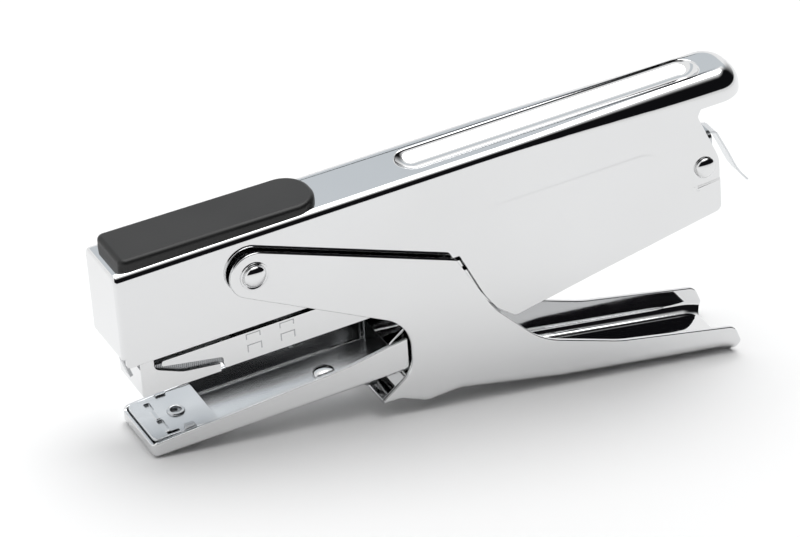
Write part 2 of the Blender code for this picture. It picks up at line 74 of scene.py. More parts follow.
# Pivots in (u, v), as the frame has them
FRONT_PIVOT = (37.4, 16.8)
REAR_PIVOT = (171.6, 1.5)
ALONG = Vector(JOINTS["feeder_pull"]["axis"]).normalized()
RISE = Vector((-ALONG.z, 0, ALONG.x))
CORNER = Vector(JOINTS["handle_squeeze"]["pos_m"]) - (ALONG * FRONT_PIVOT[0] + RISE * FRONT_PIVOT[1]) * MM
IN_FRAME = (
    Matrix.Translation(CORNER) @ Matrix((ALONG, (0, 1, 0), RISE)).transposed().to_4x4() @ Matrix.Scale(MM, 4)
)

# Housing
HOUSING_HALF = 9.3
HOUSING_WALL = 0.9
HOUSING_TOP = 28.0
# Radii of the bend round the top: the tight upper part up to BEND_TURN, then the wide lower part
BEND_TURN = math.radians(41)
TOP_BENDS = (2.2, 2.5)
NOSE_BENDS = (3.4, 7.0)
TIP_BENDS = (3.8, 8.6)
FRONT_BEND = 1.0
FRONT_WALL_BOTTOM = 2.6
LOWER_EDGE = -0.3
NOSE_CORNER = 8.8
NOSE_START = 177.7
NOSE_RIM = 20.0
NOSE_MIDDLE = HOUSING_HALF - NOSE_CORNER
WIDENING = (105.0, NOSE_START)
EMBOSS = 0.25
RECESS = (90.0, 170.0)
RECESS_HALF = 4.9

# Handle, arm and magazine
HANDLE_HALF = 11.6
HANDLE_WALL = 1.2
HANDLE_LOBE = 6.7
GRIP_END_ROUND = 1.7
ARM_HALF = 10.1
ARM_WALL = 1.0
ARM_FLOOR = -30.5
ARM_BEND = 1.6
PLATE_TOP = -25.2
PLATE_RIVET = (16.6, 0)
SPRING_RIVET = (59.5, 0)
CHANNEL_HALF = 7.15

BEND_STEPS = 12
SHARP = math.radians(35)
FLAT = math.radians(0.05)


# Outlines -------------------------------------------------------------------------------------------


def turns(start, end, count):
    """Angles from start to end in degrees, as radians."""
    return [math.radians(angle) for angle in between(start, end, count)]


def smooth(share):
    share = min(1.0, max(0.0, share))
    return share * share * (3 - 2 * share)


def between(low, high, count):
    return [low + (high - low) * i / count for i in range(count + 1)]


def arc(center, radius, start, end, step=5.0):
    """Points on an arc, from one angle to another in degrees."""
    count = max(2, round(abs(end - start) / step))
    angles = turns(start, end, count)
    return [(center[0] + radius * math.cos(a), center[1] + radius * math.sin(a)) for a in angles]


def circle(center, radius, step=5.0):
    return arc(center, radius, 0, 360, step)[:-1]


def corner_arc(before, corner, after, step=5.0):
    """The arc that rounds corner (a, b, radius), between its two neighbours."""
    here = Vector(corner[:2])
    back = (Vector(before[:2]) - here).normalized()
    ahead = (Vector(after[:2]) - here).normalized()
    half = back.angle(ahead) / 2
    middle = here + (back + ahead).normalized() * corner[2] / math.sin(half)
    first = here + back * corner[2] / math.tan(half) - middle
    last = here + ahead * corner[2] / math.tan(half) - middle
    start = math.degrees(math.atan2(first.y, first.x))
    turn = (math.degrees(math.atan2(last.y, last.x)) - start + 180) % 360 - 180
    return arc(middle, corner[2], start, start + turn, step)


def rounded(corners, closed=True):
    """An outline from corners (a, b) or (a, b, radius). An open one keeps its two ends as they are."""
    outline = []
    for i, corner in enumerate(corners):
        at_end = not closed and i in (0, len(corners) - 1)
        if len(corner) == 2 or at_end:
            outline.append(tuple(corner[:2]))
        else:
            outline += corner_arc(corners[i - 1], corner, corners[(i + 1) % len(corners)])
    return outline


def inset(outline, distance):
    """A closed outline moved inwards, square to each of its edges."""
    pairs = zip(outline, outline[1:] + outline[:1])
    side = 1 if sum(a[0] * b[1] - b[0] * a[1] for a, b in pairs) > 0 else -1
    moved = []
    for i, here in enumerate(outline):
        here = Vector(here)
        into = (here - Vector(outline[i - 1])).normalized()
        away = (Vector(outline[(i + 1) % len(outline)]) - here).normalized()
        normal = Vector((-(into + away).y, (into + away).x)).normalized() * side
        stretch = max(0.5, normal.dot(Vector((-into.y, into.x)) * side))
        moved.append(tuple(here + normal * distance / stretch))
    return moved


def stadium(a0, a1, half, step=5.0):
    return arc((a1, 0), half, -90, 90, step) + arc((a0, 0), half, 90, 270, step)


# Surfaces -------------------------------------------------------------------------------------------

PLACE = {
    "side": lambda a, b, c: (a, c, b),
    "plan": lambda a, b, c: (a, b, c),
    "section": lambda a, b, c: (c, a, b),
}


class Sheet:
    """A surface in millimetres. Faces that are given the same point share it."""

    def __init__(self):
        self.mesh = bmesh.new()
        self.known = {}

    def vertex(self, point):
        key = tuple(round(number, 3) for number in point)
        if key not in self.known:
            self.known[key] = self.mesh.verts.new(point)
        return self.known[key]

    def face(self, points):
        corners = list(dict.fromkeys(self.vertex(point) for point in points))
        if len(corners) > 2:
            self.mesh.faces.new(corners)

    def rows(self, rows, closed=False):
        for first, second in zip(rows, rows[1:]):
            count = len(first)
            for i in range(count if closed else count - 1):
                j = (i + 1) % count
                self.face([first[i], first[j], second[j], second[i]])


def mirrored(row):
    return [(u, -y, v) for u, y, v in row]


def plate(outline, low, high, view, rim, sheet=None, steps=3):
    """The outline extruded from low to high, with both rims rounded."""
    sheet = sheet or Sheet()
    place = PLACE[view]
    rim_turns = turns(0, 90, steps)
    levels = [(rim * (1 - math.sin(a)), low + rim * (1 - math.cos(a))) for a in rim_turns]
    levels += [(rim * (1 - math.sin(a)), high - rim * (1 - math.cos(a))) for a in reversed(rim_turns)]
    rows = [[place(a, b, depth) for a, b in inset(outline, distance)] for distance, depth in levels]
    sheet.face(rows[0])
    sheet.rows(rows, closed=True)
    sheet.face(rows[-1])
    return sheet


def turned(profile, center, across=True, step=6.0, sheet=None):
    """A round piece from its profile of (depth, radius), lying across the stapler or standing on a floor."""
    sheet = sheet or Sheet()
    view = "side" if across else "plan"
    place = PLACE[view]
    rows = [[place(a, b, depth) for a, b in circle(center, radius, step)] for depth, radius in profile]
    sheet.face(rows[0])
    sheet.rows(rows, closed=True)
    sheet.face(rows[-1])
    return sheet


def dome(base, height, radius, steps=8):
    """Profile of a rivet head standing on base, from its rim to near its middle."""
    return [(base + height * math.sin(a), radius * math.cos(a)) for a in turns(0, 86, steps)]


def crisp_normals(mesh):
    """Shading normals that keep flats flat: round a point, each face counts by the whole flat it lies in."""
    work = bmesh.new()
    work.from_mesh(mesh)
    work.faces.ensure_lookup_table()
    flat_of = {}
    areas = []
    for seed in work.faces:
        if seed in flat_of:
            continue
        flat_of[seed] = len(areas)
        total = 0.0
        waiting = [seed]
        while waiting:
            face = waiting.pop()
            total += face.calc_area()
            for edge in face.edges:
                for other in edge.link_faces:
                    if other not in flat_of and face.normal.angle(other.normal, 1.0) < FLAT:
                        flat_of[other] = len(areas)
                        waiting.append(other)
        areas.append(total)
    normals = [Vector((0, 0, 1))] * len(mesh.loops)
    for vertex in work.verts:
        left = set(vertex.link_faces)
        while left:
            fan = [left.pop()]
            for face in fan:
                near = [edge for edge in face.edges if vertex in edge.verts]
                for other in (other for edge in near for other in edge.link_faces):
                    if other in left and face.normal.angle(other.normal, 1.0) < SHARP:
                        left.remove(other)
                        fan.append(other)
            normal = sum((face.normal * areas[flat_of[face]] for face in fan), Vector()).normalized()
            for face in fan:
                start = mesh.polygons[face.index].loop_start
                place = [loop.vert for loop in face.loops].index(vertex)
                normals[start + place] = normal
    work.free()
    mesh.shade_smooth()
    mesh.normals_split_custom_set(normals)


def cut_from(piece, sheet):
    """Takes a closed sheet out of a piece that is still in millimetres."""
    cutter = as_object(sheet, "cutter")
    modifier = piece.modifiers.new("cut", "BOOLEAN")
    modifier.operation = "DIFFERENCE"
    modifier.object = cutter
    bake(piece)
    bpy.data.objects.remove(cutter)


def as_object(sheet, name, outward=None):
    faces = sheet.mesh.faces
    bmesh.ops.recalc_face_normals(sheet.mesh, faces=faces)
    if outward:
        direction = Vector(outward)
        outermost = max(faces, key=lambda face: face.calc_center_median().dot(direction))
        if outermost.normal.dot(direction) < 0:
            bmesh.ops.reverse_faces(sheet.mesh, faces=faces)
    mesh = bpy.data.meshes.new(name)
    sheet.mesh.to_mesh(mesh)
    sheet.mesh.free()
    piece = bpy.data.objects.new(name, mesh)
    bpy.context.scene.collection.objects.link(piece)
    return piece


def bake(piece):
    graph = bpy.context.evaluated_depsgraph_get()
    mesh = bpy.data.meshes.new_from_object(piece.evaluated_get(graph))
    piece.modifiers.clear()
    piece.data = mesh


def thicken(piece, wall, rim):
    """Gives a surface its sheet thickness inwards, and rounds the rims."""
    solid = piece.modifiers.new("wall", "SOLIDIFY")
    solid.thickness = wall
    solid.offset = -1
    solid.use_even_offset = False
    edge = piece.modifiers.new("rim", "BEVEL")
    edge.limit_method = "ANGLE"
    edge.angle_limit = math.radians(55)
    edge.width = rim
    edge.segments = 3
    edge.use_clamp_overlap = False
    edge.loop_slide = False
    bake(piece)


def settle(piece, body, finish, slot, *stands_for):
    """Moves a finished piece into the frame, with its material, its body and the nodes that it stands for."""
    piece.data.transform(IN_FRAME)
    crisp_normals(piece.data)
    piece.data.materials.clear()
    piece.data.materials.append(finish)
    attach(piece, body)
    if stands_for:
        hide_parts(*stands_for)
    return piece


# Materials ------------------------------------------------------------------------------------------


class Nodes:
    """A material's node tree, with the few calls that the finishes need."""

    def __init__(self, name):
        self.material = bpy.data.materials.new(name)
        self.material.use_nodes = True
        self.tree = self.material.node_tree
        self.shader = self.tree.nodes["Principled BSDF"]
        self.place = self.add("ShaderNodeTexCoord").outputs["Object"]

    def add(self, kind, **settings):
        node = self.tree.nodes.new(kind)
        for key, value in settings.items():
            setattr(node, key, value)
        return node

    def link(self, source, target):
        self.tree.links.new(source, target)

    def stretched(self, scale):
        mapping = self.add("ShaderNodeMapping")
        mapping.inputs["Scale"].default_value = scale
        self.link(self.place, mapping.inputs["Vector"])
        return mapping.outputs["Vector"]

    def noise(self, scale, detail=3.0, stretch=(1, 1, 1), roughness=0.5):
        node = self.add("ShaderNodeTexNoise")
        node.inputs["Scale"].default_value = scale
        node.inputs["Detail"].default_value = detail
        node.inputs["Roughness"].default_value = roughness
        self.link(self.stretched(stretch), node.inputs["Vector"])
        return node.outputs["Fac"]

    def ramp(self, source, stops):
        node = self.add("ShaderNodeValToRGB")
        while len(node.color_ramp.elements) < len(stops):
            node.color_ramp.elements.new(0.5)
        for element, (position, color) in zip(node.color_ramp.elements, stops):
            element.position = position
            element.color = (*color, 1) if len(color) == 3 else color
        self.link(source, node.inputs["Fac"])
        return node.outputs["Color"]

    def span(self, source, low, high, new_low, new_high):
        node = self.add("ShaderNodeMapRange")
        for key, value in (("From Min", low), ("From Max", high), ("To Min", new_low), ("To Max", new_high)):
            node.inputs[key].default_value = value
        self.link(source, node.inputs["Value"])
        return node.outputs["Result"]

    def add_up(self, first, second):
        node = self.add("ShaderNodeMath", operation="ADD")
        self.link(first, node.inputs[0])
        self.link(second, node.inputs[1])
        return node.outputs[0]

    def bump(self, height, distance, strength=1.0):
        node = self.add("ShaderNodeBump")
        node.inputs["Distance"].default_value = distance
        node.inputs["Strength"].default_value = strength
        self.link(height, node.inputs["Height"])
        self.link(node.outputs["Normal"], self.shader.inputs["Normal"])

    def set(self, **values):
        for key, value in values.items():
            self.shader.inputs[key.replace("_", " ")].default_value = value


def grey(level, tint=0.0):
    return (level * (1 - tint), level, level * (1 + tint))


def chrome_finish():
    """Bright plating: nearly clean, with faint clouds, handling marks and fine polishing lines."""
    made = Nodes("chrome_plating")
    made.set(Metallic=1.0)
    clouds = made.noise(22.0, 2.0)
    stops = [(0.3, grey(0.735, 0.004)), (0.7, grey(0.76, 0.006))]
    made.link(made.ramp(clouds, stops), made.shader.inputs["Base Color"])
    lines = made.noise(90.0, 4.0, (1.0, 14.0, 14.0), 0.6)
    marks = made.noise(45.0, 5.0, roughness=0.7)
    worn = made.span(marks, 0.52, 0.75, 0.035, 0.085)
    fine = made.span(lines, 0.3, 0.7, 0.0, 0.02)
    made.link(made.add_up(worn, fine), made.shader.inputs["Roughness"])
    made.bump(made.noise(1100.0, 2.0), 0.00002, 0.12)
    return made.material


def steel_finish(name, level, roughness, grain):
    """Plated or bare sheet steel with rolling lines along it."""
    made = Nodes(name)
    made.set(Metallic=1.0, Anisotropic=0.3)
    lines = made.noise(160.0, 5.0, (1.0, grain, grain), 0.65)
    patches = made.noise(40.0, 3.0)
    dark = grey(level * 0.98, 0.02)
    light = grey(level * 1.02, 0.025)
    color = made.ramp(made.add_up(lines, patches), [(0.75, dark), (1.0, light)])
    made.link(color, made.shader.inputs["Base Color"])
    made.link(made.span(lines, 0.3, 0.7, roughness * 0.92, roughness * 1.1), made.shader.inputs["Roughness"])
    made.bump(lines, 0.00001, 0.06)
    return made.material


def plastic_finish(name, level):
    """Moulded plastic with a fine satin grain."""
    made = Nodes(name)
    made.set(Specular_IOR_Level=0.35)
    grain = made.noise(1500.0, 3.0)
    wear = made.noise(60.0, 4.0, roughness=0.65)
    stops = [(0.35, grey(level, 0.01)), (0.75, grey(level * 1.35, 0.01))]
    made.link(made.ramp(wear, stops), made.shader.inputs["Base Color"])
    made.link(made.span(wear, 0.35, 0.75, 0.34, 0.46), made.shader.inputs["Roughness"])
    made.bump(grain, 0.00003, 0.35)
    return made.material


CHROME = chrome_finish()
NICKEL = steel_finish("matt_nickel", 0.66, 0.24, 6.0)
STEEL = steel_finish("zinc_plated_steel", 0.58, 0.2, 10.0)
SPRING_STEEL = steel_finish("spring_steel", 0.42, 0.28, 12.0)
WIRE = steel_finish("staple_wire", 0.4, 0.3, 3.0)
CAP = plastic_finish("satin_black_cap", 0.011)
INNER_PLASTIC = plastic_finish("inner_plastic", 0.02)


# Housing --------------------------------------------------------------------------------------------


def bend_point(angle, bends):
    """How far a bend has gone across and down at an angle. It is tight at first, and wider past BEND_TURN."""
    tight, wide = bends
    if angle <= BEND_TURN:
        return tight * math.sin(angle), tight * (1 - math.cos(angle))
    across = tight * math.sin(BEND_TURN) + wide * (math.sin(angle) - math.sin(BEND_TURN))
    down = tight * (1 - math.cos(BEND_TURN)) + wide * (math.cos(BEND_TURN) - math.cos(angle))
    return across, down


def blend(first, second, share):
    return tuple(a + (b - a) * share for a, b in zip(first, second))


def top_rows():
    """The bend round the top, from the flat down to the sides: low and even in front, wide round the nose."""
    stations = []
    for u in [FRONT_BEND] + between(20, 100, 4) + between(WIDENING[0], NOSE_START, 14):
        share = smooth((u - WIDENING[0]) / (WIDENING[1] - WIDENING[0]))
        stations.append(((u, -HOUSING_HALF), (0, -1), blend(TOP_BENDS, NOSE_BENDS, share)))
    for turn in between(0, 90, 15)[1:]:
        angle = math.radians(turn - 90)
        away = (math.cos(angle), math.sin(angle))
        point = (NOSE_START + NOSE_CORNER * away[0], -NOSE_MIDDLE + NOSE_CORNER * away[1])
        stations.append((point, away, blend(NOSE_BENDS, TIP_BENDS, smooth(turn / 90))))
    rows = []
    for angle in turns(0, 90, BEND_STEPS):
        row = []
        for point, away, bends in stations:
            across, down = bend_point(angle, bends)
            back = bend_point(math.pi / 2, bends)[0] - across
            row.append((point[0] - away[0] * back, point[1] - away[1] * back, HOUSING_TOP - down))
        rows.append(row + [(row[-1][0], 0.0, row[-1][2])] + mirrored(reversed(row)))
    return rows


def front_row(depth, back):
    """The housing's section just behind its front face, made smaller by depth."""
    bends = (TOP_BENDS[0] - depth, TOP_BENDS[1] - depth)
    half = HOUSING_HALF - depth
    inward = bend_point(math.pi / 2, bends)[0]
    row = [(back, -half, FRONT_WALL_BOTTOM)]
    for angle in turns(90, 0, BEND_STEPS):
        across, down = bend_point(angle, bends)
        row.append((back, inward - across - half, HOUSING_TOP - depth - down))
    return row + [(back, 0.0, HOUSING_TOP - depth)] + mirrored(reversed(row))


def emboss_line():
    """The upper edge of the raised part of the wing, from front to rear, between its two ends."""
    corners = [(97.2, -0.6), (102.6, 11.9, 9), (155.5, 11.9, 8), (167.9, -3.9, 3), (176.4, -3.6)]
    return rounded(corners, closed=False)[1:-1]


def housing_side(sheet, side_top, sign):
    """One side: the upper part, the emboss step across it, and the raised wing."""
    line = emboss_line()
    steps = between(0.0, 1.0, 5)
    rows = []
    for share in steps:
        shift = (share - 0.5) * 1.35
        closed = line + [(176.4, -40), (97.2, -40)]
        moved = inset(closed, shift)[:len(line)]
        front = (96.9 + 0.35 * share, LOWER_EDGE - 0.55 * share)
        rear = (176.36, -3.1 - 0.9 * share)
        out = sign * (HOUSING_HALF + EMBOSS * smooth(share))
        rows.append([(u, out, v) for u, v in [front] + moved + [rear]])
    sheet.rows(rows)
    upper = [(FRONT_BEND, 0.7), (FRONT_BEND, FRONT_WALL_BOTTOM)] + side_top
    upper += [(NOSE_START, NOSE_RIM), (171.0, NOSE_RIM, 0.4), (170.0, 18.0, 1.5), (176.2, 3.0, 8)]
    upper += [(u, v) for u, y, v in reversed(rows[0])] + [(2.0, LOWER_EDGE), (1.3, -0.05)]
    sheet.face([(u, sign * HOUSING_HALF, v) for u, v in rounded(upper)])
    lower = [(u, v) for u, y, v in rows[-1]]
    lower += [(176.5, -13.6, 2), (138.0, -20.2, 60), (112.5, -25.0, 2.6), (107.0, -20.5, 6)]
    lower += [(103.5, -15.0, 20)]
    sheet.face([(u, sign * (HOUSING_HALF + EMBOSS), v) for u, v in rounded(lower)])


def recess_rows():
    """The dished recess in the top: a rounded rim, a short wall and a hollow floor."""
    rim = [(0.5, 0.0), (0.3, 0.04), (0.12, 0.16), (0.0, 0.36), (-0.1, 0.46)]
    start = 40.0
    radius = (RECESS_HALF - 0.1) / math.sin(math.radians(start))
    floor = []
    for angle in turns(start, 2.0, 12)[1:]:
        depth = 0.46 + radius * (math.cos(angle) - math.cos(math.radians(start)))
        floor.append((radius * math.sin(angle) - RECESS_HALF, depth))
    rows = []
    for outward, depth in rim + floor:
        half = RECESS_HALF + outward
        rows.append([(u, y, HOUSING_TOP - depth) for u, y in stadium(*RECESS, half)])
    return rows


def upper_housing():
    sheet = Sheet()
    rows = top_rows()
    sheet.rows(rows)
    front = [front_row(FRONT_BEND * (1 - math.cos(a)), FRONT_BEND * (1 - math.sin(a)))
             for a in turns(0, 90, 5)]
    sheet.rows(front)
    sheet.face(front[-1])
    low = rows[-1]
    near = [point for point in low if point[1] < 0]
    flat_side = [(u, v) for u, y, v in near if abs(y + HOUSING_HALF) < 1e-6]
    for sign in (-1, 1):
        housing_side(sheet, flat_side, sign)
    skirt = low[len(flat_side) - 1:len(low) - len(flat_side) + 1]
    sheet.rows([skirt, [(u, y, NOSE_RIM) for u, y, v in skirt]])
    recess = recess_rows()
    sheet.rows(recess, closed=True)
    sheet.face(recess[-1])
    rim = recess[0]
    top = rows[0]
    near_top = [point for point in top if point[1] < 0]
    count = len(rim) // 2
    rear_first = next(i for i, point in enumerate(rim) if abs(point[1]) < 1e-6)
    loop = rim[rear_first:] + rim[:rear_first]
    far_rim = loop[:count + 1]
    near_rim = loop[count:] + loop[:1]
    rear_middle = (near_top[-1][0], 0.0, HOUSING_TOP)
    front_middle = (FRONT_BEND, 0.0, HOUSING_TOP)
    sheet.face([front_middle] + near_top + [rear_middle] + list(reversed(near_rim)))
    sheet.face([front_middle] + mirrored(near_top) + [rear_middle] + far_rim)
    piece = as_object(sheet, "housing_shell", outward=(0, 0, 1))
    thicken(piece, HOUSING_WALL, 0.22)
    settle(piece, "housing", CHROME, "chrome", "upper_housing")


def head_cap():
    """The moulded cap: upright sides with a soft edge round a gently falling top."""
    corners = [(2.6, -8.1, 2.2), (60.2, -8.1, 7.4), (60.2, 8.1, 7.4), (2.6, 8.1, 2.2)]
    outline = rounded(corners)
    rows = []
    levels = [(0.0, -3.6), (0.1, -1.4)]
    soft = 1.3
    levels += [(0.1 + soft * (1 - math.sin(a)), -soft * (1 - math.cos(a))) for a in turns(90, 0, 7)]
    for inward, below in levels:
        row = []
        for (u, y), (outer, _) in zip(inset(outline, inward), outline):
            crest = 31.2 - 0.016 * outer
            row.append((u, y, max(27.3, crest + below)))
        rows.append(row)
    sheet = Sheet()
    sheet.face(rows[0])
    sheet.rows(rows, closed=True)
    sheet.face(rows[-1])
    piece = as_object(sheet, "cap_shell", outward=(0, 0, 1))
    settle(piece, "housing", CAP, "cap_plastic", "head_cap")


def pivots():
    sheet = Sheet()
    shank = 2.4
    for sign in (-1, 1):
        face = HANDLE_HALF
        flare = [(face - 0.6, 3.9), (face + 0.05, 4.05), (face + 0.32, 3.95), (face + 0.42, 3.7)]
        flare += [(face + 0.3, 3.35), (face + 0.16, 3.2), (face + 0.14, 2.0)]
        turned([(sign * y, radius) for y, radius in flare], FRONT_PIVOT, sheet=sheet)
        head = [(face + 0.1, 3.05), (face + 0.25, 3.12)] + dome(face + 0.4, 1.5, 3.1, 9)
        turned([(sign * y, radius) for y, radius in head], FRONT_PIVOT, sheet=sheet)
    turned([(-HANDLE_HALF, shank), (HANDLE_HALF, shank)], FRONT_PIVOT, sheet=sheet)
    piece = as_object(sheet, "front_rivet")
    washers = ("pivot_washer_left", "pivot_washer_right")
    settle(piece, "housing", CHROME, "rivet_steel", "front_pivot_rivet", *washers)
    for side, sign in (("left", -1), ("right", 1)):
        base = HOUSING_HALF + 0.05
        head = [(6.0, 1.9), (base, 1.9), (base, 3.0), (base + 0.2, 3.05)] + dome(base + 0.3, 1.5, 3.05, 9)
        piece = as_object(turned([(sign * y, radius) for y, radius in head], REAR_PIVOT), "rear_stub_" + side)
        settle(piece, "housing", CHROME, "rivet_steel", "rear_rivet_" + side)


# Lower handle ---------------------------------------------------------------------------------------


def handle_bottom():
    corners = [(71.2, -37.6), (76.5, -37.8, 3), (84.0, -41.8, 5), (94.0, -42.4, 8), (125.0, -50.1, 40)]
    corners += [(174.5, -59.6, 12), (179.2, -61.2)]
    line = rounded(corners, closed=False)
    return line[:-1] + [(177.2, -60.5)] + line[-1:]


def lower_handle():
    """Two plates and the trough between them, from one sheet, with a bend that grows along the grip."""
    bottom = handle_bottom()
    stations = []
    for i, here in enumerate(bottom):
        before = Vector(bottom[max(0, i - 1)])
        after = Vector(bottom[min(len(bottom) - 1, i + 1)])
        ahead = (after - before).normalized()
        bend = 1.4 + 2.6 * smooth((here[0] - 76) / 22)
        stations.append((Vector(here), Vector((-ahead.y, ahead.x)), bend))
    rows = []
    for angle in turns(0, 90, 9):
        row = []
        for i, (here, inward, bend) in enumerate(stations):
            point = here + inward * bend * (1 - math.sin(angle))
            if i == len(stations) - 1:
                point.x -= GRIP_END_ROUND * (1 - math.cos(angle))
            row.append((point.x, bend * (1 - math.cos(angle)) - HANDLE_HALF, point.y))
        rows.append(row)
    sheet = Sheet()
    lobe = arc(FRONT_PIVOT, HANDLE_LOBE, 68, 241)
    outline = lobe + [(80.4, -14.6, 13), (80.4, -29.4, 7)] + [(u, v) for u, y, v in rows[0]]
    outline += [(178.8, -52.3, 3.6), (143.0, -43.6, 30), (119.0, -34.2, 25)]
    outline += [(105.0, -18.5, 20), (95.0, 0.6, 1.2)]
    side = [(u, -HANDLE_HALF, v) for u, v in rounded(outline)]
    for flip in (lambda row: row, mirrored):
        sheet.face(flip(side))
        sheet.rows([flip(row) for row in rows])
    sheet.rows([rows[-1], mirrored(rows[-1])])
    piece = as_object(sheet, "handle_shell", outward=(0, 0, -1))
    thicken(piece, HANDLE_WALL, 0.32)
    settle(piece, "handle", CHROME, "chrome", "lower_handle")


# Anvil arm ------------------------------------------------------------------------------------------


def arm_top(u):
    return -25.8 + 0.058 * (u - 5.4) + 1.6 * smooth((u - 60) / 20)


def anvil_arm():
    """The tray of the arm, drawn round its three walls, with the ears that reach back to the rear pivot."""
    front = 5.4
    stations = [((u, -ARM_HALF), (0, -1), arm_top(u)) for u in between(80, 9, 12)]
    lip = -26.5
    for turn in between(0, 90, 6):
        angle = math.radians(-90 - turn)
        away = (math.cos(angle), math.sin(angle))
        point = (front + ARM_BEND + ARM_BEND * away[0], ARM_BEND - ARM_HALF + ARM_BEND * away[1])
        stations.append((point, away, arm_top(front) + (lip - arm_top(front)) * smooth(turn / 90)))
    rows = [[(point[0], point[1], top) for point, away, top in stations]]
    for angle in turns(90, 0, 8):
        row = []
        for point, away, top in stations:
            back = ARM_BEND * 0.98 * (1 - math.sin(angle))
            row.append((point[0] - away[0] * back, point[1] - away[1] * back,
                        ARM_FLOOR + ARM_BEND * (1 - math.cos(angle))))
        rows.append(row)
    rows = [row + mirrored(reversed(row)) for row in rows]
    sheet = Sheet()
    sheet.rows(rows)
    sheet.face(rows[-1])
    piece = as_object(sheet, "arm_tray", outward=(0, 0, -1))
    thicken(piece, ARM_WALL, 0.25)
    settle(piece, "arm", CHROME, "chrome", "anvil_arm")
    piece.data.materials.append(NICKEL)
    for polygon in piece.data.polygons:
        if polygon.normal.dot(RISE) > 0.95:
            polygon.material_index = 1
    ears = Sheet()
    lobe = arc(REAR_PIVOT, 5.0, -73, 100)
    low_edge = ARM_FLOOR + 0.3
    outline = lobe + [(96.0, -6.5, 12), (75.5, -21.5, 1), (75.5, low_edge, 1), (86.0, low_edge, 15)]
    outline = rounded(outline)
    joggle = [(76.0, ARM_FLOOR + 0.6), (79.3, ARM_FLOOR + 0.6), (79.3, -22.0), (76.0, -22.0)]
    for sign in (-1, 1):
        low, high = sorted((sign * 7.45, sign * 8.15))
        plate(outline, low, high, "side", 0.2, ears)
        low, high = sorted((sign * 7.6, sign * (ARM_HALF - 0.2)))
        plate(joggle, low, high, "side", 0.2, ears)
    settle(as_object(ears, "arm_ears"), "arm", CHROME, "chrome")


def anvil_plate():
    half = ARM_HALF - ARM_WALL - 0.1
    outline = rounded([(6.4, -half, 1.8), (24.8, -half, 0.4), (24.8, half, 0.4), (6.4, half, 1.8)])
    piece = as_object(plate(outline, PLATE_TOP - 1.0, PLATE_TOP, "plan", 0.25), "clinch_plate")
    for low, high in ((-6.0, -1.4), (3.2, 7.0)):
        pocket = rounded([(10.2, low, 0.5), (12.0, low, 0.5), (12.0, high, 0.5), (10.2, high, 0.5)])
        cut_from(piece, plate(pocket, PLATE_TOP - 0.65, PLATE_TOP + 1, "plan", 0.1))
    slot = rounded([(10.5, -8.4, 0.3), (14.0, -8.4, 0.3), (14.0, -7.4, 0.3), (10.5, -7.4, 0.3)])
    cut_from(piece, plate(slot, PLATE_TOP - 2, PLATE_TOP + 1, "plan", 0.05))
    cut_from(piece, turned([(PLATE_TOP - 2, 1.5), (PLATE_TOP + 1, 1.5)], PLATE_RIVET, across=False))
    settle(piece, "arm", NICKEL, "anvil_steel", "anvil_plate")
    bump = Sheet()
    for low, high in ((-1.1, 2.9), (-7.4, -6.3)):
        raised = rounded([(10.4, low, 0.5), (11.8, low, 0.5), (11.8, high, 0.5), (10.4, high, 0.5)])
        plate(raised, PLATE_TOP - 0.2, PLATE_TOP + 0.22, "plan", 0.2, bump)
    settle(as_object(bump, "clinch_ridge"), "arm", CHROME, "anvil_steel")
    ring = [(PLATE_TOP - 0.5, 2.5), (PLATE_TOP + 0.15, 2.5), (PLATE_TOP + 0.5, 2.3), (PLATE_TOP + 0.6, 1.95)]
    ring += [(PLATE_TOP + 0.5, 1.6), (PLATE_TOP + 0.2, 1.4), (PLATE_TOP - 2.4, 1.35)]
    piece = as_object(turned(ring, PLATE_RIVET, across=False), "plate_rivet_ring", outward=(0, 0, 1))
    settle(piece, "arm", STEEL, "rivet_steel", "anvil_plate_rivet")
    clip = Sheet()
    bent = rounded([(15.2, PLATE_TOP - 3.0, 0.2), (18.4, PLATE_TOP - 3.0, 0.2), (18.4, PLATE_TOP + 0.7, 0.5),
                    (15.2, PLATE_TOP + 0.7, 0.5)])
    plate(bent, -9.2, -8.5, "side", 0.15, clip)
    tab = rounded([(15.4, -9.0, 0.3), (18.2, -9.0, 0.3), (18.2, -7.35, 0.3), (15.4, -7.35, 0.3)])
    plate(tab, PLATE_TOP + 0.15, PLATE_TOP + 0.95, "plan", 0.15, clip)
    far = rounded([(14.4, 8.0, 0.3), (17.4, 8.0, 0.3), (17.4, 9.5, 0.3), (14.4, 9.5, 0.3)])
    plate(far, PLATE_TOP + 0.1, PLATE_TOP + 0.6, "plan", 0.15, clip)
    settle(as_object(clip, "plate_clip"), "arm", STEEL, "steel", "anvil_plate_clip")
    head = [(ARM_FLOOR - 2.0, 0.6), (ARM_FLOOR - 1.9, 1.5), (ARM_FLOOR - 1.5, 2.2), (ARM_FLOOR - 1.1, 2.4)]
    head += [(ARM_FLOOR - 1.0, 1.5), (ARM_FLOOR + 1.1, 1.5), (ARM_FLOOR + 1.15, 3.1), (ARM_FLOOR + 1.5, 3.1)]
    head += dome(ARM_FLOOR + 1.5, 0.9, 3.0, 6)
    piece = as_object(turned(head, SPRING_RIVET, across=False), "spring_rivet")
    settle(piece, "arm", CHROME, "rivet_steel", "leaf_spring_rivet")


# Inside ---------------------------------------------------------------------------------------------


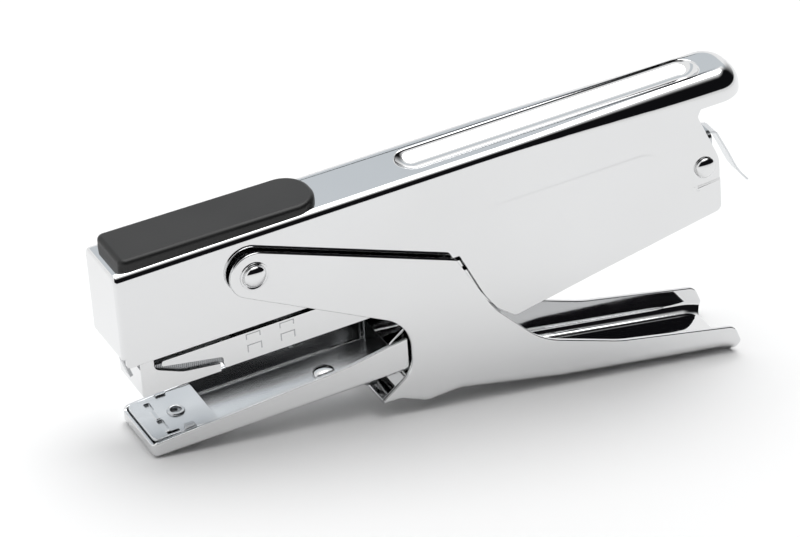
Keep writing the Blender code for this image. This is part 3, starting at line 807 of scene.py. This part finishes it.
def coil_spring():
    """The spring round the pusher rod, as its real coils. It is one fixed mesh that moves with the feeder."""
    low, high = 46.5, 174.6
    rod = -7.8
    radius = 2.05
    per_turn = 14
    count = 52 * per_turn
    points = []
    for i in range(count + 1):
        angle = 2 * math.pi * i / per_turn
        u = low + (high - low) * i / count
        points.append((u, radius * math.cos(angle), rod + radius * math.sin(angle)))
    curve = bpy.data.curves.new("coil", "CURVE")
    curve.dimensions = "3D"
    curve.bevel_depth = 0.26
    curve.bevel_resolution = 1
    curve.use_fill_caps = True
    spline = curve.splines.new("POLY")
    spline.points.add(len(points) - 1)
    for point, place in zip(spline.points, points):
        point.co = (*place, 1)
    drawn = bpy.data.objects.new("coil", curve)
    bpy.context.scene.collection.objects.link(drawn)
    graph = bpy.context.evaluated_depsgraph_get()
    mesh = bpy.data.meshes.new_from_object(drawn.evaluated_get(graph))
    bpy.data.objects.remove(drawn)
    piece = bpy.data.objects.new("pusher_coil", mesh)
    bpy.context.scene.collection.objects.link(piece)
    mesh.transform(IN_FRAME)
    mesh.shade_smooth()
    mesh.materials.append(SPRING_STEEL)
    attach(piece, "feeder")
    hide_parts("pusher_spring")
    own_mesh(piece)


def staples():
    """The strip, with a groove between each staple and the next."""
    crown = -4.05
    pitch = 0.55
    sheet = Sheet()
    half, wire = 6.4, 0.5
    inner = half - wire
    foot = crown - 6.0
    section = [(-half, foot), (-half, crown), (half, crown), (half, foot)]
    section += [(inner, foot), (inner, crown - wire), (-inner, crown - wire), (-inner, foot)]
    u = 7.4
    while u < 32.0:
        plate(section, u, u + pitch - 0.03, "section", 0.1, sheet, steps=1)
        u += pitch
    settle(as_object(sheet, "staples"), "magazine", WIRE, "staple_wire", "staple_strip")


def release_tongue():
    outer = [(176.3, 7.5), (179.4, 6.6, 2), (183.4, -2.0, 40), (186.2, -8.7, 25), (189.0, -12.0)]
    inner = [(188.6, -12.3), (185.8, -8.9, 25), (183.0, -2.1, 40), (179.1, 6.1, 2), (176.3, 7.0)]
    piece = as_object(plate(rounded(outer + inner), -2.8, 2.8, "side", 0.12), "thumb_tongue")
    settle(piece, "tongue", NICKEL, "spring_steel", "release_tongue")


def staple_marks():
    """Plain outlines of staples stamped in the magazine's near side: short legs above, long legs below."""
    sheet = Sheet()
    half, line = 2.1, 0.3
    for middle, crown, leg in ((37.4, -3.6, 1.6), (47.1, -3.6, 1.6), (37.6, -7.0, 2.3), (47.2, -7.0, 2.3)):
        corners = [(-half, -leg), (-half, 0), (half, 0), (half, -leg), (half - line, -leg)]
        corners += [(half - line, -line), (line - half, -line), (line - half, -leg)]
        outline = [(middle + across, crown + up) for across, up in corners]
        plate(outline, -CHANNEL_HALF - 0.03, -CHANNEL_HALF + 0.1, "side", 0.02, sheet, steps=1)
    settle(as_object(sheet, "staple_marks"), "magazine", SPRING_STEEL, "steel")


CARRIED = {
    "driver_block": INNER_PLASTIC, "staple_pusher": INNER_PLASTIC, "driver_blade": STEEL,
    "pivot_spacer_left": STEEL, "pivot_spacer_right": STEEL, "magazine_channel": CHROME,
    "magazine_nose": CHROME, "staple_rail": STEEL, "magazine_bridge": STEEL, "feeder_end_plate": STEEL,
    "pusher_rod": STEEL, "front_guide_leaf": SPRING_STEEL, "magazine_return_spring": SPRING_STEEL,
    "handle_leaf_spring": SPRING_STEEL,
}


def carried_nodes():
    """The CAD nodes whose shape is right stay, with better materials."""
    for name, finish in CARRIED.items():
        mesh = NODES[name].data
        mesh.materials.clear()
        mesh.materials.append(finish)


# Studio ---------------------------------------------------------------------------------------------


def studio():
    bpy.ops.mesh.primitive_plane_add(size=40, location=(0, 0, cad_box[0].z))
    floor = bpy.context.object
    floor.name = "floor"
    pale = bpy.data.materials.new("floor")
    pale.use_nodes = True
    shader = pale.node_tree.nodes["Principled BSDF"]
    shader.inputs["Base Color"].default_value = (0.9, 0.9, 0.9, 1)
    shader.inputs["Roughness"].default_value = 0.9
    floor.data.materials.append(pale)
    lamp = bpy.data.lights.new("overhead", "AREA")
    lamp.shape = "DISK"
    lamp.size = 3.0
    lamp.energy = 60
    overhead = bpy.data.objects.new("overhead", lamp)
    overhead.location = (0.3, 0.5, 3.0)
    overhead.rotation_euler = (Vector((0, 0, 0)) - overhead.location).to_track_quat("-Z", "Y").to_euler()
    bpy.context.scene.collection.objects.link(overhead)


def room():
    """A white room with a dark opening in front and a grey-blue panel low on the far side."""
    world = bpy.data.worlds.new("room")
    world.use_nodes = True
    bpy.context.scene.world = world
    tree = world.node_tree
    link = tree.links.new
    background = tree.nodes["Background"]
    coordinates = tree.nodes.new("ShaderNodeTexCoord")
    parts = tree.nodes.new("ShaderNodeSeparateXYZ")
    link(coordinates.outputs["Generated"], parts.inputs[0])

    def math_node(operation, first, second=None, clamp=False):
        node = tree.nodes.new("ShaderNodeMath")
        node.operation = operation
        node.use_clamp = clamp
        for socket, value in zip(node.inputs, (first, second)):
            if value is None:
                continue
            if isinstance(value, (int, float)):
                socket.default_value = value
            else:
                link(value, socket)
        return node.outputs[0]

    def band(value, low, high, soft, soft_high=None):
        rising = tree.nodes.new("ShaderNodeMapRange")
        falling = tree.nodes.new("ShaderNodeMapRange")
        top = soft_high or soft
        for node, start, end in ((rising, low - soft, low + soft), (falling, high + top, high - top)):
            node.interpolation_type = "SMOOTHSTEP"
            node.inputs["From Min"].default_value = start
            node.inputs["From Max"].default_value = end
            link(value, node.inputs["Value"])
        return math_node("MULTIPLY", rising.outputs["Result"], falling.outputs["Result"])

    def mix(factor, first, second):
        node = tree.nodes.new("ShaderNodeMix")
        node.data_type = "RGBA"
        link(factor, node.inputs["Factor"])
        for socket, value in ((node.inputs[6], first), (node.inputs[7], second)):
            if isinstance(value, tuple):
                socket.default_value = (*value, 1)
            else:
                link(value, socket)
        return node.outputs[2]

    height = math_node("ARCSINE", parts.outputs["Z"])
    facing = math_node("ARCTAN2", parts.outputs["X"], math_node("MULTIPLY", parts.outputs["Y"], -1.0))
    degrees = math.radians
    dark = math_node("MULTIPLY", band(height, degrees(3), degrees(57), degrees(2.5), degrees(11)),
                     band(facing, degrees(-62), degrees(116), degrees(9), degrees(24)))
    far = math_node("MULTIPLY", band(height, degrees(33), degrees(43.5), degrees(1.2)),
                    band(math_node("ABSOLUTE", facing), degrees(110), degrees(190), degrees(12)))
    color = mix(far, (1.0, 1.0, 1.0), (0.66, 0.70, 0.735))
    color = mix(dark, color, (0.006, 0.006, 0.007))
    link(color, background.inputs["Color"])
    background.inputs["Strength"].default_value = 1.05


def camera():
    """The view: from the front left, above, with a long lens and a slight roll."""
    data = bpy.data.cameras.new("view")
    data.lens = 202.5
    data.sensor_width = 36.0
    data.clip_end = 100
    made = bpy.data.objects.new("view", data)
    bpy.context.scene.collection.objects.link(made)
    right = Vector((0.88461, -0.45631, 0.09616))
    up = Vector((0.15484, 0.48193, 0.86242))
    back = right.cross(up)
    stand = Matrix.Translation((-0.53142, -0.88846, 0.62915))
    made.matrix_world = stand @ Matrix((right, up, back)).transposed().to_4x4()
    bpy.context.scene.camera = made


camera()
studio()
room()
upper_housing()
head_cap()
pivots()
lower_handle()
anvil_arm()
anvil_plate()
coil_spring()
staples()
release_tongue()
staple_marks()
carried_nodes()
bpy.context.scene.view_settings.view_transform = "Standard"
